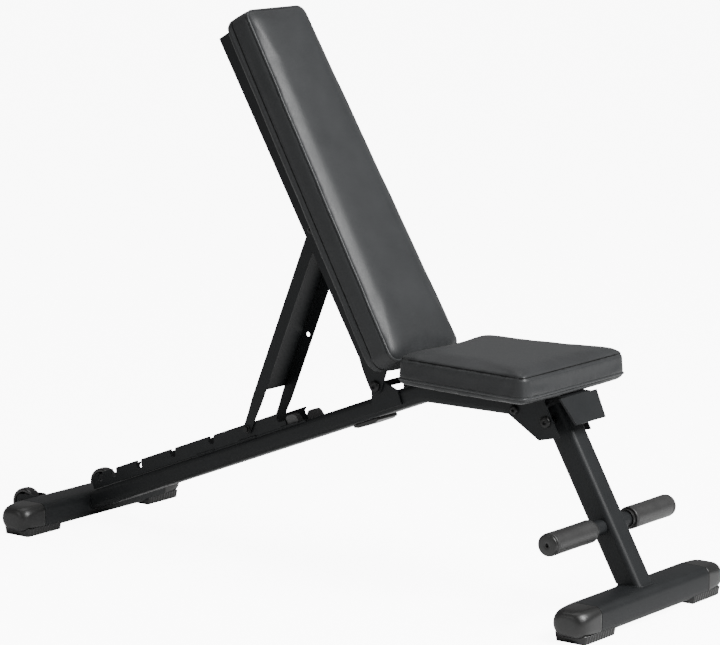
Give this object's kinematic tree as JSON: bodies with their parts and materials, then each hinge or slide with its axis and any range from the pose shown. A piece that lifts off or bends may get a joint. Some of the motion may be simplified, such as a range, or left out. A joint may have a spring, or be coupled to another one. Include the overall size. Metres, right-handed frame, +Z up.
{
  "type": "adjustable weight bench",
  "caption": "Adjustable folding weight bench: tapered back pad propped on a notched ladder by a strut, flat seat pad, fold-under front leg with foam leg rollers, and rear transport wheels.",
  "frame": {"origin": "bottom centre of the whole bench, on the floor it stands on", "axes": "+X forwards towards the seat and the front leg, +Y to the far side across the bench, +Z up"},
  "size_m": [1.408, 0.4648, 1.0258],
  "materials": {
    "powder_coat": "satin black powder coat with fine orange peel",
    "upholstery": "black grained synthetic leather",
    "rubber": "semi-matte moulded rubber",
    "grey_rubber": "soft grey rubber",
    "foam": "closed-cell foam with a fine skin",
    "gloss_plastic": "glossy black moulding",
    "fastener": "black oxide steel",
    "board": "black-faced board"
  },
  "bodies": {
    "frame": {"cheek_bolt_far": "fastener", "cheek_bolt_near": "fastener", "cheek_plate_far": "powder_coat", "cheek_plate_near": "powder_coat", "folded_leg_rest": "rubber", "front_plate": "powder_coat", "hinge_bolt": "fastener", "hinge_ear_far": "powder_coat", "hinge_ear_near": "powder_coat", "hinge_nut": "fastener", "ladder_bumper_far": "grey_rubber", "ladder_bumper_near": "grey_rubber", "ladder_plate_far": "powder_coat", "ladder_plate_near": "powder_coat", "leg_pivot_bolt": "fastener", "rear_foot_cap_far": "rubber", "rear_foot_cap_near": "rubber", "rear_foot_pad_far": "rubber", "rear_foot_pad_near": "rubber", "rear_foot_tube": "powder_coat", "seat_board": "board", "seat_mount_front": "powder_coat", "seat_mount_rear": "powder_coat", "seat_pad": "upholstery", "spine_tube": "powder_coat", "wheel_axle_far": "fastener", "wheel_axle_near": "fastener", "wheel_bracket_far": "powder_coat", "wheel_bracket_near": "powder_coat"},
    "back": {"back_board": "board", "back_frame": "powder_coat", "back_pad": "upholstery", "pad_screw_1_far": "fastener", "pad_screw_1_near": "fastener", "pad_screw_2_far": "fastener", "pad_screw_2_near": "fastener", "pad_screw_3_far": "fastener", "pad_screw_3_near": "fastener", "strut_pivot_bolt": "fastener", "strut_pivot_nut": "fastener"},
    "strut": {"foot_pin_far": "fastener", "foot_pin_near": "fastener", "strut_channel": "powder_coat"},
    "front_leg": {"front_foot_cap_far": "rubber", "front_foot_cap_near": "rubber", "front_foot_pad_far": "rubber", "front_foot_pad_near": "rubber", "front_foot_tube": "powder_coat", "leg_tube": "powder_coat", "roller_bar": "powder_coat", "roller_collar_far": "powder_coat", "roller_collar_near": "powder_coat", "roller_washer_far": "rubber", "roller_washer_near": "rubber"},
    "roller_near": {"foam_roller_near": "foam", "roller_cap_near": "rubber"},
    "roller_far": {"foam_roller_far": "foam", "roller_cap_far": "rubber"},
    "wheel_near": {"wheel_near": "gloss_plastic"},
    "wheel_far": {"wheel_far": "gloss_plastic"}
  },
  "joints": [
    {"name": "back_recline", "type": "hinge", "parent": "frame", "child": "back", "pos_m": [0.135, 0, 0.353], "axis": [0, 1, 0], "range_deg": [-60, 0]},
    {"name": "strut_swing", "type": "hinge", "parent": "back", "child": "strut", "pos_m": [-0.00961, 0, 0.62747], "axis": [0, 1, 0], "range_deg": [0, 89.67]},
    {"name": "leg_fold", "type": "hinge", "parent": "frame", "child": "front_leg", "pos_m": [0.503, 0, 0.332], "axis": [0, 1, 0], "range_deg": [0, 98]},
    {"name": "roller_spin_near", "type": "hinge", "parent": "front_leg", "child": "roller_near", "pos_m": [0.60283, -0.127, 0.1541], "axis": [0, 1, 0], "continuous": true},
    {"name": "roller_spin_far", "type": "hinge", "parent": "front_leg", "child": "roller_far", "pos_m": [0.60283, 0.127, 0.1541], "axis": [0, 1, 0], "continuous": true},
    {"name": "wheel_spin_near", "type": "hinge", "parent": "frame", "child": "wheel_near", "pos_m": [-0.674, -0.113, 0.0355], "axis": [0, 1, 0], "continuous": true},
    {"name": "wheel_spin_far", "type": "hinge", "parent": "frame", "child": "wheel_far", "pos_m": [-0.674, 0.113, 0.0355], "axis": [0, 1, 0], "continuous": true}
  ],
  "couplings": [
    {"joint": "strut_swing", "follows": "back_recline", "ratio": -1.4936}
  ]
}
